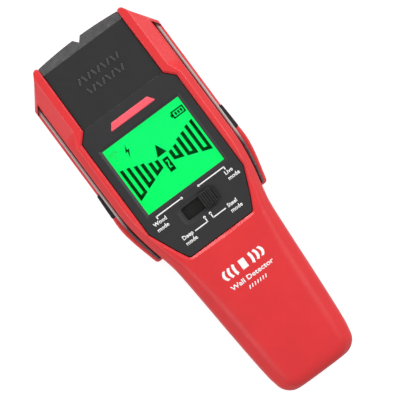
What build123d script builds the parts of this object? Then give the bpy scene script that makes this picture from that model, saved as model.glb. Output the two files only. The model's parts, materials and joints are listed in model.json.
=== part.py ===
from build123d import *
import math
import os

# Handheld stud finder, lying on its back with the face up.
# X runs across the tool, Y runs from the tail to the nose and Z points up.
# The origin is under the middle of the tool, on the surface that it rests on.  Millimetres.

# ---- overall form ----
LENGTH = 179.0
NOSE_Y = LENGTH / 2
TAIL_Y = -LENGTH / 2
WALL = 2.0
GAP = 0.12

# ---- levels ----
BACK_Z = 0.6
FLOOR_Z = BACK_Z + WALL
FLANGE_Z = 11.0
SEAM_Z = 13.0
SHOULDER_Z = 23.0
RIM_Z = 27.3
FACE_Z = 26.3
FACE_UNDER_Z = FACE_Z - 2.0

# ---- head: half widths and stations along Y ----
FLANGE_X = 33.35
FLANGE_BEVEL_X = 0.7
FLANGE_BEVEL_Z = 1.5
BULGE_X = 34.2
FOOT_X = 30.8
SHOULDER_X = 30.3
CREASE_X = 27.9
EAR_X = 33.3
EAR_FRONT_Y = 74.8
EAR_REAR_Y = 72.6
EAR_ROOT_Y = 76.2
TIP_Y = NOSE_Y - 0.3
WING_INNER_X = 21.1
WING_TOP_X = 24.9
NECK_Y = 50.7
HIP_Y = 24.0
STEP_Y = -9.4

# ---- nose ----
NOSE_X = 21.0
NOSE_FLARE = 0.3
NOSE_REAR_Y = 55.4
NOSE_Z = 26.3
NOSE_RIDGE_Y = 84.4
NOSE_BROW_Z = 21.0
NOSE_DROP = 1.25
NOSE_CORNER_Y = NOSE_Y - NOSE_DROP
NOSE_ARC_R = (NOSE_X**2 + NOSE_DROP**2) / (2 * NOSE_DROP)
NOSE_SIDE_CHAMFER = 0.35
NOTCH_HALF = 2.0
NOTCH_DEPTH = 2.5

# ---- face plate ----
FACE_X = 25.3
FACE_TAIL_Y = -16.0
LEDGE = 1.5
COLLAR = 1.5
WINDOW_X = 20.2
WINDOW_Y0 = 9.5
WINDOW_Y1 = 43.0
BEZEL = 1.4
BEZEL_DEPTH = 0.5
LENS_FLANGE = 1.1
LIP = 1.7
SEAM_GAP = 0.06
BAR_Y0 = 47.6
BAR_Y1 = 51.0
BAR_BASE_X = 12.0
BAR_TOP_X = 9.6

# ---- mode switch ----
MODE_STEP = 3.03
MODE_TRAVEL = 3 * MODE_STEP
MODE_REST_X = MODE_TRAVEL / 2
MODE_Y = 0.2
KNOB_X = 3.1
KNOB_Y = 3.6
KNOB_Z = 28.5
SLOT_X = MODE_REST_X + KNOB_X + 0.3
SLOT_Y = 3.1
DISH_DEPTH = 0.35

# ---- side button, its blank on the other side, and the trim band above them ----
BUTTON_Y0 = 17.6
BUTTON_Y1 = 29.4
BUTTON_Z0 = 5.2
BUTTON_Z1 = 10.85
BUTTON_BACK_X = 32.4
BUTTON_TRAVEL = 0.8
BUTTON_GAP = 0.25
POCKET_X = BUTTON_BACK_X - BUTTON_TRAVEL - 0.2
POCKET_WALL = 1.2
STEM_Z = 7.2
PLUNGER_Y = (BUTTON_Y0 + BUTTON_Y1) / 2
TRIM_INNER_X = 0.25
TRIM_OUTER_X = 1.5

# ---- boards ----
BOARD_Z0 = 14.4
BOARD_Z1 = 16.0
SENSOR_Z0 = 4.2
SENSOR_Z1 = 5.2
COIL_Y = 62.0
COIL_Z = SENSOR_Z1 + 2.2
GLASS_Z0 = 22.3
GLASS_Z1 = 24.1

SHUTTER_Z0 = 23.2
SHUTTER_Z1 = 23.7
TACT_TIP_X = 28.6
BUZZER_X = 13.8
BUZZER_Y = -2.0

# ---- battery, 9 V block ----
BATTERY_X = 26.5
BATTERY_LONG = 46.4
BATTERY_Z = 17.3
BATTERY_TAIL_Y = -84.8
DOOR_X = 14.8
DOOR_Y1 = -34.0
DOOR_TONGUE = 0.8

# ---- fasteners and pads ----
SCREWS = [(25.8, 64.0), (-25.8, 64.0), (24.6, 3.0), (-24.6, 3.0), (0.0, -25.0)]
BOSS_R = 2.9
SCREW_R = 1.25
SCREW_HEAD_R = 2.5
SCREW_HEAD_Z = 3.6
SCREW_TIP_Z = 19.0
SCREW_PLAY = 0.2

# Housing cross-sections from the hip to the tail, closer together where the sides bend:
# station y, half width at the seam, shoulder height, half width of the top, top height, corner radius
SPINE = [
    (HIP_Y, FOOT_X, SHOULDER_Z, CREASE_X, RIM_Z, 0.8),
    (20.0, FOOT_X, SHOULDER_Z, CREASE_X, RIM_Z, 0.8),
    (15.5, 30.75, SHOULDER_Z, 27.85, RIM_Z, 0.9),
    (10.0, 30.4, 22.9, 27.5, RIM_Z, 1.0),
    (3.5, 29.55, 22.7, 26.6, RIM_Z, 1.3),
    (-4.0, 28.1, 22.3, 25.0, RIM_Z, 1.9),
    (-12.0, 26.25, 21.8, 23.0, 27.2, 2.6),
    (-20.0, 25.0, 21.2, 21.0, 27.0, 4.0),
    (-31.0, 24.2, 20.2, 19.6, 26.3, 5.6),
    (-42.0, 23.5, 19.4, 18.5, 25.5, 6.6),
    (-53.0, 22.8, 18.8, 17.7, 24.8, 7.0),
    (-64.0, 22.0, 18.2, 17.0, 24.1, 7.0),
    (-71.0, 21.45, 17.8, 16.6, 23.6, 6.8),
    (-76.5, 20.9, 17.5, 16.1, 23.2, 6.6),
    (-80.5, 20.3, 17.3, 15.6, 22.9, 6.2),
]
TAIL_RADIUS = 6.5
TAIL_HALF = 19.8
TAIL_TOP_Z = 22.7
TAIL_TAPER = 0.16
HOLLOW_CORNER_R = 4.6


def tail_station(degrees):
    """Cross-section on the rounded tail, from 0 where it starts to 90 at the end face."""
    turn = math.radians(degrees)
    shrink = TAIL_RADIUS * (1 - math.cos(turn))
    run = TAIL_RADIUS * math.sin(turn)
    half = TAIL_HALF - shrink - TAIL_TAPER * run
    top_z = TAIL_TOP_Z - 0.75 * shrink - TAIL_TAPER / 2 * run
    return (TAIL_Y + TAIL_RADIUS - run, half, 17.2 - 0.25 * shrink, half - 4.6, top_z, 6.0 - 0.56 * shrink)


TAIL = [tail_station(degrees) for degrees in (0, 18, 36, 54, 72, 90)]
# The hollow of the handle ends here, in front of the rounded tail.
HOLLOW_TAIL = [TAIL[0], tail_station(30)]


def across(y):
    """Plane square to the tool's length, with its x along X and its y up."""
    return Plane(origin=(0, y, 0), x_dir=(1, 0, 0), z_dir=(0, -1, 0))


def level(z):
    return Plane.XY.offset(z)


def slab(outline, z0, z1):
    """Straight extrusion of a flat outline between two levels."""
    return extrude(level(z0) * outline, z1 - z0)


def block(x0, x1, y0, y1, z0, z1):
    """Box given by its two corners."""
    return Pos((x0 + x1) / 2, (y0 + y1) / 2, (z0 + z1) / 2) * Box(x1 - x0, y1 - y0, z1 - z0)


def pin(x, y, radius, z0, z1):
    return Pos(x, y, (z0 + z1) / 2) * Cylinder(radius, z1 - z0)


def mirrored_face(right):
    """Face whose outline is the given right-hand edges and their mirror image."""
    return make_face(right + mirror(right, Plane.YZ))


def polygon_both_sides(points):
    """Symmetric flat polygon from the points of its right-hand side, front to rear."""
    left = [(-x, y) for x, y in reversed(points)]
    return make_face(Polyline(*points, *left, close=True))


# ---- outlines seen from above ----


def flange_outline(inset=0.0):
    """Widest outline of the lower housing, at the head."""
    front_y = NOSE_CORNER_Y - inset
    chamfer = Line((23.8 - 0.4 * inset, front_y), (FLANGE_X - inset, EAR_FRONT_Y - 0.4 * inset))
    side = Line(chamfer @ 1, (FLANGE_X - inset, 31.0))
    hip = Spline(
        side @ 1,
        (BULGE_X - 0.35 - inset, 20.0),
        (BULGE_X - inset, 12.5),
        (33.4 - inset, 5.7),
        (31.1 - inset, -4.0),
        (29.7 - inset, STEP_Y + inset),
        tangents=[(0, -1), (-0.25, -1)],
    )
    rear = Line(hip @ 1, (0, STEP_Y + inset))
    front = Line((0, front_y), chamfer @ 0)
    outline = mirrored_face(front + chamfer + side + hip + rear)
    corners = outline.vertices().filter_by(lambda v: v.Y < 0 and abs(v.X) > 20)
    return fillet(corners, 1.7)


WING_TIP = [(WING_INNER_X, NOSE_CORNER_Y), (21.7, TIP_Y - 0.25), (22.7, TIP_Y), (23.8, TIP_Y - 0.6)]
WING_FOOT = WING_TIP + [(EAR_X, EAR_FRONT_Y), (EAR_X, EAR_REAR_Y), (FOOT_X, EAR_ROOT_Y)]


def foot_outline(grow=0.0):
    """Outline of the head where the upper housing meets the lower one, ears included."""
    foot = polygon_both_sides(WING_FOOT + [(FOOT_X, HIP_Y)])
    return offset(foot, grow, kind=Kind.INTERSECTION) if grow else foot


def face_outline(grow=0.0):
    """Black face plate: wide beside the display, pointed towards the handle; grow moves its edge outwards."""
    points = [(20.9, NOSE_REAR_Y), (FACE_X, NECK_Y), (FACE_X, 2.4), (19.9, -10.0), (16.8, FACE_TAIL_Y)]
    plate = polygon_both_sides(points)
    plate = fillet(plate.vertices().filter_by(lambda v: v.Y < FACE_TAIL_Y + 1), 1.8)
    return offset(plate, grow, kind=Kind.INTERSECTION) if grow else plate


def bar_outline(grow=0.0):
    """Trapezoid of the indicator bar, with rounded corners."""
    points = [(BAR_TOP_X, BAR_Y1), (BAR_BASE_X, BAR_Y0)]
    bar = polygon_both_sides(points)
    bar = fillet(bar.vertices(), 0.45)
    return offset(bar, grow) if grow else bar


# ---- housing solids ----


def upper_section(y, half, shoulder_z, top_half, top_z, radius, inset=0.0):
    """Cross-section of the upper housing, or of its hollow when inset is given."""
    crown = 0.05 + 0.22 * radius
    foot = (half - inset, SEAM_Z)
    shoulder = (half - 0.5 - inset, shoulder_z)
    corner = (top_half - inset * 0.5, top_z - inset)
    side = Polyline(foot, shoulder, corner)
    other = Polyline((-corner[0], corner[1]), (-shoulder[0], shoulder[1]), (-foot[0], foot[1]))
    top = ThreePointArc(corner, (0, top_z - inset + crown), (-corner[0], corner[1]))
    base = Line(other @ 1, foot)
    face = across(y) * make_face(side + top + other + base)
    corners = face.vertices().filter_by(lambda v: v.Z > SEAM_Z + 0.5)
    return fillet(corners, min(radius, HOLLOW_CORNER_R) if inset else radius)


def lower_section(y, half, shoulder_z, top_half, top_z, radius, inset=0.0):
    """Cross-section of the lower housing behind the head, or of its hollow."""
    foot = (half - inset, SEAM_Z)
    bilge = (half - 0.3 - inset, BACK_Z + 4.6)
    corner = (half - 2.6 - inset, BACK_Z + inset)
    outline = Polyline(
        foot, bilge, corner, (-corner[0], corner[1]), (-bilge[0], bilge[1]), (-foot[0], foot[1]), close=True
    )
    face = across(y) * make_face(outline)
    corners = face.vertices().filter_by(lambda v: v.Z < SEAM_Z - 0.5)
    return fillet(corners, 2.0)


def spine_loft(section, inset=0.0):
    """Solid of the head's rear and the handle, or of its hollow, from its cross-sections."""
    front = loft([section(*SPINE[0], inset), section(NECK_Y, *SPINE[0][1:], inset)], ruled=True)
    tail = HOLLOW_TAIL if inset else TAIL
    return front + loft([section(*station, inset) for station in SPINE + tail])


def front_block():
    """Wings and nose of the upper housing, in front of the neck, with an ear on each side."""
    foot = WING_FOOT + [(FOOT_X, 57.0), (FOOT_X, NECK_Y)]
    shoulder = [(x, y - 0.2) for x, y in WING_TIP] + [
        (SHOULDER_X + 0.05, EAR_ROOT_Y + 0.7),
        (SHOULDER_X + 0.02, EAR_ROOT_Y + 0.2),
        (SHOULDER_X, EAR_ROOT_Y - 0.3),
        (SHOULDER_X, 57.0),
        (SHOULDER_X, NECK_Y),
    ]
    rim = [(x, y - 0.9) for x, y in WING_TIP] + [
        (24.8, 85.8),
        (WING_TOP_X, 84.0),
        (WING_TOP_X, 72.0),
        (WING_TOP_X, 57.0),
        (CREASE_X, NECK_Y),
    ]
    levels = [(SEAM_Z, foot), (SHOULDER_Z, shoulder), (RIM_Z, rim)]
    faces = [level(z) * polygon_both_sides(points) for z, points in levels]
    solid = loft(faces, ruled=True)
    return fillet(wing_creases(solid), 0.8)


def wing_creases(solid):
    """Long edges of the wings: at the rim, and at the shoulder behind the ears."""
    edges = solid.edges().filter_by(lambda e: e.length > 3 and e.bounding_box().size.Z < 0.1)
    rim = edges.filter_by(lambda e: e.center().Z > RIM_Z - 0.1 and abs(e.center().X) > 24)
    shoulder = edges.filter_by(lambda e: abs(e.center().Z - SHOULDER_Z) < 0.1 and abs(e.center().X) > 29)
    return rim + shoulder


def notch():
    """V-shaped marking notch through the front edge."""
    tip_y = NOSE_Y - NOTCH_DEPTH
    wedge = Polyline((0, tip_y), (NOTCH_HALF, NOSE_Y), (NOTCH_HALF, NOSE_Y + 2),
                     (-NOTCH_HALF, NOSE_Y + 2), (-NOTCH_HALF, NOSE_Y), close=True)
    return slab(make_face(wedge), -1, RIM_Z + 1)


def bay_outline(grow=0.0):
    """Outline of the space between the wings."""
    return polygon_both_sides([(NOSE_X + grow, NOSE_Y + 2), (NOSE_X + NOSE_FLARE + grow, NOSE_REAR_Y)])


def nose_bay(grow=0.0):
    """Space between the wings that the nose cover fills."""
    return slab(bay_outline(grow), SEAM_Z, RIM_Z + 2)


def face_seat():
    """Collar that carries the face plate, standing down from the rim."""
    return slab(face_outline(COLLAR), FACE_UNDER_Z - WALL, RIM_Z + 3)


def upper_shell():
    """Top half of the housing: two wings, rim round the face plate, and the crowned handle."""
    outer = front_block() + spine_loft(upper_section)
    hollow = spine_loft(upper_section, WALL)
    bay_walls = nose_bay(WALL) - nose_bay(GAP)
    shell = outer - hollow - wing_hollow()
    shell += bay_walls & outer
    shell += face_seat() & outer
    for x, y in SCREWS:
        shell += pin(x, y, BOSS_R, SEAM_Z + GAP, RIM_Z) & outer
        shell -= pin(x, y, SCREW_R, SEAM_Z, SCREW_TIP_Z + 1)
    shell -= nose_bay(GAP)
    shell -= slab(face_outline(GAP), FACE_UNDER_Z, RIM_Z + 3)
    shell -= lip(face_outline, FACE_Z + 0.15) + lip(bay_outline, RIM_Z - 0.6)
    return shell - slab(face_outline(-LEDGE), FACE_UNDER_Z - WALL - 0.1, RIM_Z + 3)


def wing_hollow():
    """Hollow of the head between the neck and the front bosses."""
    foot_x = FOOT_X - WALL
    foot = polygon_both_sides([(foot_x, 73.0), (foot_x, NECK_Y)])
    top = polygon_both_sides([(WING_TOP_X - 0.3, 73.0), (CREASE_X - 1.3, NECK_Y)])
    return loft([level(SEAM_Z) * foot, level(RIM_Z - WALL) * top], ruled=True)


def lip(outline, z0):
    """Sloping cut that bevels the rim round an outline, from z0 upwards."""
    return loft([level(z0) * outline(GAP), level(z0 + LIP) * outline(GAP + LIP)], ruled=True)


def lower_shell():
    """Bottom half of the housing, with the side flange, the side pockets and the battery bay."""
    head = slab(flange_outline(), BACK_Z, FLANGE_Z)
    bottom = head.edges().group_by(Axis.Z)[0]
    head = bevel_flange(chamfer(bottom, 1.4))
    head += slab(foot_outline(), FLANGE_Z - FLANGE_BEVEL_Z, SEAM_Z)
    outer = head + spine_loft(lower_section) - slab(nose_ahead(), -1, SEAM_Z + 1)
    hollow = slab(flange_outline(WALL), FLOOR_Z, FLANGE_Z - WALL) - button_guides()
    hollow += slab(foot_outline(-WALL), FLANGE_Z - WALL, SEAM_Z) + spine_loft(lower_section, WALL)
    shell = outer - hollow
    for x, y in SCREWS:
        shell += pin(x, y, BOSS_R, FLOOR_Z - 0.1, SEAM_Z)
        shell -= pin(x, y, SCREW_HEAD_R + SCREW_PLAY, 0, SCREW_HEAD_Z)
        shell -= pin(x, y, SCREW_R + SCREW_PLAY, 0, SEAM_Z)
    shell -= side_pocket(-1) + side_pocket(1) + stem_window() + sound_holes()
    shell -= door_opening(GAP)
    return shell - notch()


def bevel_flange(head):
    """Steep bevel along the flange's upper edge, from the ears round to the rear."""
    top = head.faces().sort_by(Axis.Z)[-1]
    sides = top.edges().filter_by(lambda e: abs(e.center().X) > 25 and e.center().Y < EAR_REAR_Y)
    return chamfer(sides, FLANGE_BEVEL_X, FLANGE_BEVEL_Z, reference=top)


def nose_ahead():
    """Everything in front of the arched nose edge."""
    return Pos(0, NOSE_Y + 2) * Rectangle(80, 14) - Pos(0, NOSE_Y - NOSE_ARC_R) * Circle(NOSE_ARC_R)


def nose_cover():
    """Black nose: flat top, sloped brow, upright front and the marking notch."""
    profile = Polyline((NOSE_REAR_Y, SEAM_Z), (NOSE_Y + 1, SEAM_Z), (NOSE_Y + 1, NOSE_BROW_Z),
                       (NOSE_RIDGE_Y, NOSE_Z), (NOSE_REAR_Y, NOSE_Z), close=True)
    side_view = Plane(origin=(0, 0, 0), x_dir=(0, 1, 0), z_dir=(1, 0, 0))
    prism = extrude(side_view * make_face(profile), 30, both=True)
    solid = (prism & nose_bay()) - slab(nose_ahead(), 0, 40)
    edges = solid.edges().group_by(Axis.Z)[-1].filter_by(lambda e: abs(e.center().X) > 15)
    solid = chamfer(edges, NOSE_SIDE_CHAMFER)
    hollow = prism.moved(Pos(0, -WALL, -WALL)) & nose_bay(-WALL)
    hollow -= slab(nose_ahead().moved(Pos(0, -WALL, 0)), 0, 40)
    return solid - hollow - notch() + notch_wall(solid)


def notch_wall(solid):
    """Web that closes the cover behind the notch."""
    web = block(-4, 4, NOSE_Y - NOTCH_DEPTH - WALL, NOSE_Y, SEAM_Z, NOSE_Z)
    return (web & solid) - notch()


def faceplate():
    """Black fascia with the display window, the bar slot and the mode slot in its dish."""
    plate = slab(face_outline(-GAP) + face_front(), FACE_UNDER_Z, FACE_Z)
    top = plate.faces().sort_by(Axis.Z)[-1]
    rim = top.outer_wire().edges().filter_by(lambda e: e.center().Y < NOSE_REAR_Y - 1)
    plate = chamfer(rim, 0.3)
    plate -= block(-WINDOW_X, WINDOW_X, WINDOW_Y0, WINDOW_Y1, 20, 30) + window_bezel()
    rebate_x, y0, y1 = WINDOW_X + LENS_FLANGE, WINDOW_Y0 - LENS_FLANGE, WINDOW_Y1 + LENS_FLANGE
    plate -= block(-rebate_x, rebate_x, y0, y1, 20, FACE_UNDER_Z + 0.9)
    plate -= slab(bar_outline(), 20, 30)
    dish_top = level(FACE_Z) * Pos(0, MODE_Y) * RectangleRounded(20.4, 10.0, 3.2)
    dish_floor = level(FACE_Z - DISH_DEPTH) * Pos(0, MODE_Y) * RectangleRounded(17.6, 7.8, 2.4)
    slot = Pos(0, MODE_Y) * RectangleRounded(2 * SLOT_X, 2 * SLOT_Y, 1.0)
    return plate - loft([dish_top, dish_floor]) - slab(slot, 20, 30)


def face_front():
    """Front strip of the face plate, which closes up to the nose cover."""
    return Pos(0, NOSE_REAR_Y - SEAM_GAP - 0.25) * Rectangle(41.2, 0.5)


def window_bezel():
    """Sloping border of the display window."""
    x0, y0 = 2 * WINDOW_X, WINDOW_Y1 - WINDOW_Y0
    place = Pos(0, (WINDOW_Y0 + WINDOW_Y1) / 2)
    inner = level(FACE_Z - BEZEL_DEPTH) * place * Rectangle(x0, y0)
    outer = level(FACE_Z) * place * Rectangle(x0 + 2 * BEZEL, y0 + 2 * BEZEL)
    return loft([inner, outer], ruled=True)


def lcd_window():
    """Clear lens: a raised panel that fills the window, on a wider flange."""
    top_z = FACE_Z - BEZEL_DEPTH - 0.1
    x, y0, y1 = WINDOW_X - 0.1, WINDOW_Y0 + 0.1, WINDOW_Y1 - 0.1
    panel = block(-x, x, y0, y1, FACE_UNDER_Z, top_z)
    out = LENS_FLANGE
    return panel + block(-x - out, x + out, y0 - out, y1 + out, FACE_UNDER_Z, FACE_UNDER_Z + 0.8)


def lcd_glass():
    return block(-21.0, 21.0, 8.7, 43.8, GLASS_Z0, GLASS_Z1)


def lcd_backlight():
    return block(-20.4, 20.4, 11.2, 43.4, 19.8, GLASS_Z0 - 0.1)


def lcd_frame():
    """Carrier that stands on the main board and holds the glass."""
    frame = block(-22.2, 22.2, 7.3, 45.0, BOARD_Z1, GLASS_Z1)
    frame -= block(-21.1, 21.1, 8.6, 43.9, GLASS_Z0 - 0.05, GLASS_Z1)
    return frame - block(-20.5, 20.5, 8.7, 43.5, BOARD_Z1, GLASS_Z1)


def lcd_connector_strip():
    return block(-18.0, 18.0, 8.9, 10.7, BOARD_Z1, GLASS_Z0)


def light_pipe():
    """Translucent bar, proud of the face plate, with a retaining flange below."""
    bar = slab(bar_outline(-0.08), FACE_UNDER_Z, FACE_Z + 0.25)
    top = bar.faces().sort_by(Axis.Z)[-1]
    bar = chamfer(top.edges(), 0.25)
    flange = slab(bar_outline(0.5), FACE_UNDER_Z - 1.0, FACE_UNDER_Z)
    return bar + flange + slab(bar_outline(-0.8), BOARD_Z1 + 2.6, FACE_UNDER_Z)


def indicator_leds():
    """Three chip lamps under the bar."""
    y = (BAR_Y0 + BAR_Y1) / 2
    lamps = [block(x - 1.6, x + 1.6, y - 1.4, y + 1.4, BOARD_Z1, BOARD_Z1 + 2.0) for x in (-7, 0, 7)]
    return Compound(lamps)


# ---- mode switch ----


def mode_knob():
    """Ribbed thumb slide, with a stem that reaches through the face plate."""
    x = MODE_REST_X
    floor_z = FACE_Z - DISH_DEPTH + 0.15
    grip = slab(Pos(x, MODE_Y) * RectangleRounded(2 * KNOB_X, 2 * KNOB_Y, 0.9), floor_z, KNOB_Z)
    grip = chamfer(grip.faces().sort_by(Axis.Z)[-1].edges(), 0.35)
    for i in range(5):
        rib_x = x + (i - 2) * 1.1
        grip -= block(rib_x - 0.22, rib_x + 0.22, MODE_Y - KNOB_Y, MODE_Y + KNOB_Y, KNOB_Z - 0.45, KNOB_Z)
    stem = block(x - 2.4, x + 2.4, MODE_Y - 2.4, MODE_Y + 2.4, SHUTTER_Z1, floor_z)
    fork = block(x - 2.0, x + 2.0, MODE_Y - 2.0, MODE_Y + 2.0, 20.9, SHUTTER_Z1)
    socket = block(x - 1.25, x + 1.25, MODE_Y - 1.25, MODE_Y + 1.25, 20.9, 22.6)
    return grip + stem + fork - socket


def mode_shutter():
    """Thin dust shield that travels with the knob and hides the slot."""
    x = MODE_REST_X
    sheet = block(x - 12.4, x + 12.4, MODE_Y - 4.2, MODE_Y + 4.2, SHUTTER_Z0, SHUTTER_Z1)
    return sheet - block(x - 2.05, x + 2.05, MODE_Y - 2.05, MODE_Y + 2.05, SHUTTER_Z0, SHUTTER_Z1)


def mode_switch_slider():
    x = MODE_REST_X
    foot = block(x - 1.6, x + 1.6, MODE_Y - 1.4, MODE_Y + 1.4, 17.7, 19.2)
    return foot + block(x - 1.2, x + 1.2, MODE_Y - 1.2, MODE_Y + 1.2, 19.2, 22.5)


def mode_switch_housing():
    half = MODE_REST_X + 3.2
    can = block(-half, half, MODE_Y - 3.4, MODE_Y + 3.4, BOARD_Z1, 20.5)
    way = MODE_REST_X + 1.8
    can -= block(-way, way, MODE_Y - 1.6, MODE_Y + 1.6, 17.5, 19.4)
    return can - block(-way + 0.3, way - 0.3, MODE_Y - 1.35, MODE_Y + 1.35, 19.4, 21)


# ---- side button, its blank and the trim ----


def side_pocket(side):
    """Pocket in the flange for the button on the left, or for its blank on the right."""
    y0 = BUTTON_Y0 - BUTTON_GAP
    y1 = BUTTON_Y1 + BUTTON_GAP
    pocket = block(POCKET_X, 40, y0, y1, BUTTON_Z0 - BUTTON_GAP, FLANGE_Z + 1)
    return mirror(pocket, Plane.YZ) if side < 0 else pocket


def button_guides():
    """Thick places of the flange wall round the two pockets."""
    guide = block(POCKET_X - POCKET_WALL, 40, BUTTON_Y0 - 2, BUTTON_Y1 + 2, 0, SEAM_Z)
    return guide + mirror(guide, Plane.YZ)


def stem_window():
    """Hole in the left pocket's wall for the button's stem."""
    return block(-40, -28, PLUNGER_Y - 2.2, PLUNGER_Y + 2.2, STEM_Z - 1.9, STEM_Z + 1.9)


def side_plate():
    """Plate that fills a side pocket, its face following the bulge of the flange."""
    y0, y1 = BUTTON_Y0, BUTTON_Y1
    front = Line((BUTTON_BACK_X, y1), (33.7, y1))
    bulge = ThreePointArc(front @ 1, (33.98, (y0 + y1) / 2), (34.15, y0))
    rear = Polyline(bulge @ 1, (BUTTON_BACK_X, y0), (BUTTON_BACK_X, y1))
    plate = slab(make_face(front + bulge + rear), BUTTON_Z0, BUTTON_Z1)
    outer = plate.faces().sort_by(Axis.X)[-1]
    return fillet(outer.edges(), 0.3)


def scan_button():
    """Push button in the left side, with a stem to the switch and two retaining ears."""
    stem_x = TACT_TIP_X + 0.05
    stem = block(stem_x, BUTTON_BACK_X + 0.2, PLUNGER_Y - 1.8, PLUNGER_Y + 1.8, STEM_Z - 1.6, STEM_Z + 1.6)
    ear_x = POCKET_X - POCKET_WALL - 0.1
    ears = block(ear_x - 0.7, ear_x, PLUNGER_Y - 3.4, PLUNGER_Y + 3.4, STEM_Z - 1.4, STEM_Z + 1.4)
    return mirror(side_plate() + stem + ears, Plane.YZ)


def button_blank():
    """Fixed plate in the right side, the match of the button, with two legs on the pocket's floor."""
    plate = side_plate()
    for y in (BUTTON_Y0 + 2, BUTTON_Y1 - 2):
        plate += block(POCKET_X, BUTTON_BACK_X + 0.2, y - 1, y + 1, 6.2, 9.6)
    return plate


def tact_switch_plunger():
    root_x = 26.3
    rod = Cylinder(1.3, TACT_TIP_X - root_x, rotation=(0, 90, 0))
    return mirror(Pos((TACT_TIP_X + root_x) / 2, PLUNGER_Y, STEM_Z) * rod, Plane.YZ)


def tact_switch_body():
    """Right-angle push switch that hangs from the main board."""
    can = block(-27.2, -23.4, PLUNGER_Y - 3.2, PLUNGER_Y + 3.2, 4.8, BOARD_Z0)
    bore = Cylinder(1.45, 3.4, rotation=(0, 90, 0))
    return can - Pos(-26.5, PLUNGER_Y, STEM_Z) * bore


def side_edge(out):
    """Line along the foot of the upper housing, moved out sideways, from the ear to the flange's end."""
    front_y = EAR_ROOT_Y - 0.3 - 1.44 * out
    straight = Line((FOOT_X + out, front_y), (FOOT_X + out, HIP_Y))
    bend = Spline(*[(half + out, y) for y, half, *_ in SPINE[:7]], tangents=[(0, -1), (-0.22, -1)])
    return straight + bend


def side_trim():
    """Rubber band that lies on the right-hand flange beside the upper housing."""
    inner = side_edge(TRIM_INNER_X)
    outer = side_edge(TRIM_OUTER_X)
    ends = Line(inner @ 0, outer @ 0) + Line(inner @ 1, outer @ 1)
    band = slab(make_face(inner + outer + ends), FLANGE_Z, SEAM_Z - 0.1)
    band = band - block(0, 40, -40, STEP_Y + FLANGE_BEVEL_X + 0.1, 0, 40)
    return chamfer(band.edges().group_by(Axis.Z)[-1].filter_by(lambda e: e.length > 5), 0.35)


# ---- boards and what they carry ----


def main_board():
    outline = [(22.4, 53.5), (22.4, 11.0), (20.6, 9.0), (20.6, 0.0), (17.0, -13.0)]
    board = slab(polygon_both_sides(outline), BOARD_Z0, BOARD_Z1)
    return board + block(-28.0, -22.0, PLUNGER_Y - 5, PLUNGER_Y + 5, BOARD_Z0, BOARD_Z1)


def sensor_board():
    return block(-21.0, 21.0, 14.0, 82.0, SENSOR_Z0, SENSOR_Z1)


def sensor_plates():
    """Three copper pads of the capacitive sensor, under the board."""
    pads = [(-19.0, -7.0), (-6.0, 6.0), (7.0, 19.0)]
    return Compound([block(x0, x1, 36.0, 80.0, SENSOR_Z0 - 0.1, SENSOR_Z0) for x0, x1 in pads])


def detection_coil():
    """Flat wound ring that finds metal, on the sensor board."""
    return pin(0, COIL_Y, 17.0, SENSOR_Z1, COIL_Z) - pin(0, COIL_Y, 14.2, SENSOR_Z1, COIL_Z)


def coil_bobbin():
    """Former that the coil is wound round."""
    return pin(0, COIL_Y, 14.1, SENSOR_Z1, COIL_Z) - pin(0, COIL_Y, 12.6, SENSOR_Z1, COIL_Z)


def board_header():
    """Pin strip that joins the two boards."""
    strip = block(-10.2, 10.2, 38.6, 41.2, SENSOR_Z1, SENSOR_Z1 + 2.5)
    for i in range(8):
        strip += pin((i - 3.5) * 2.54, 39.9, 0.35, SENSOR_Z1, BOARD_Z0)
    return strip


def microcontroller():
    chip = block(-13, -3, 26, 36, BOARD_Z0 - 1.5, BOARD_Z0)
    return chamfer(chip.edges().group_by(Axis.Z)[0], 0.25)


def buzzer():
    can = pin(BUZZER_X, BUZZER_Y, 6.0, BOARD_Z0 - 6.4, BOARD_Z0)
    return can - pin(BUZZER_X, BUZZER_Y, 1.2, BOARD_Z0 - 6.4, BOARD_Z0 - 5.0)


def sound_holes():
    """Ring of sound holes in the back, under the buzzer."""
    holes = pin(BUZZER_X, BUZZER_Y, 0.6, 0, 4)
    for i in range(6):
        turn = math.radians(60 * i)
        holes += pin(BUZZER_X + 2.6 * math.cos(turn), BUZZER_Y + 2.6 * math.sin(turn), 0.6, 0, 4)
    return holes


# ---- battery ----


def battery():
    """9 V block with rounded long edges."""
    y1 = BATTERY_TAIL_Y + BATTERY_LONG
    z0 = FLOOR_Z + 0.2
    cell = block(-BATTERY_X / 2, BATTERY_X / 2, BATTERY_TAIL_Y, y1, z0, z0 + BATTERY_Z)
    return fillet(cell.edges().filter_by(Axis.Y), 2.2)


def battery_terminals():
    """The block's round plug and its wider socket."""
    y = BATTERY_TAIL_Y + BATTERY_LONG + 1.0
    z = FLOOR_Z + 0.2 + BATTERY_Z / 2
    small = Pos(-6.35, y, z) * Cylinder(2.9, 2.0, rotation=(90, 0, 0))
    wide = Pos(6.35, y, z) * Cylinder(3.9, 2.0, rotation=(90, 0, 0))
    return Compound([small, wide - Pos(6.35, y, z) * Cylinder(3.1, 2.0, rotation=(90, 0, 0))])


def contact_plate():
    """Insulating plate that faces the battery's terminals."""
    y = BATTERY_TAIL_Y + BATTERY_LONG + 2.1
    return block(-12.5, 12.5, y, y + 1.6, FLOOR_Z + 1.4, 19.0)


def battery_leads(side):
    """One insulated lead from the contact plate up to the main board."""
    y = BATTERY_TAIL_Y + BATTERY_LONG + 3.7
    z = FLOOR_Z + 0.2 + BATTERY_Z / 2
    x = side * 6.35
    low_z = 8.4
    board_y = -9.0
    corners = [(x, y, z), (x, y + 5.5, z), (x, -20.0, low_z), (x, board_y, low_z), (x, board_y, BOARD_Z0)]
    path = FilletPolyline(*corners, radius=3.0)
    return sweep(Plane(origin=path @ 0, z_dir=path % 0) * Circle(0.75), path=path)


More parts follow.
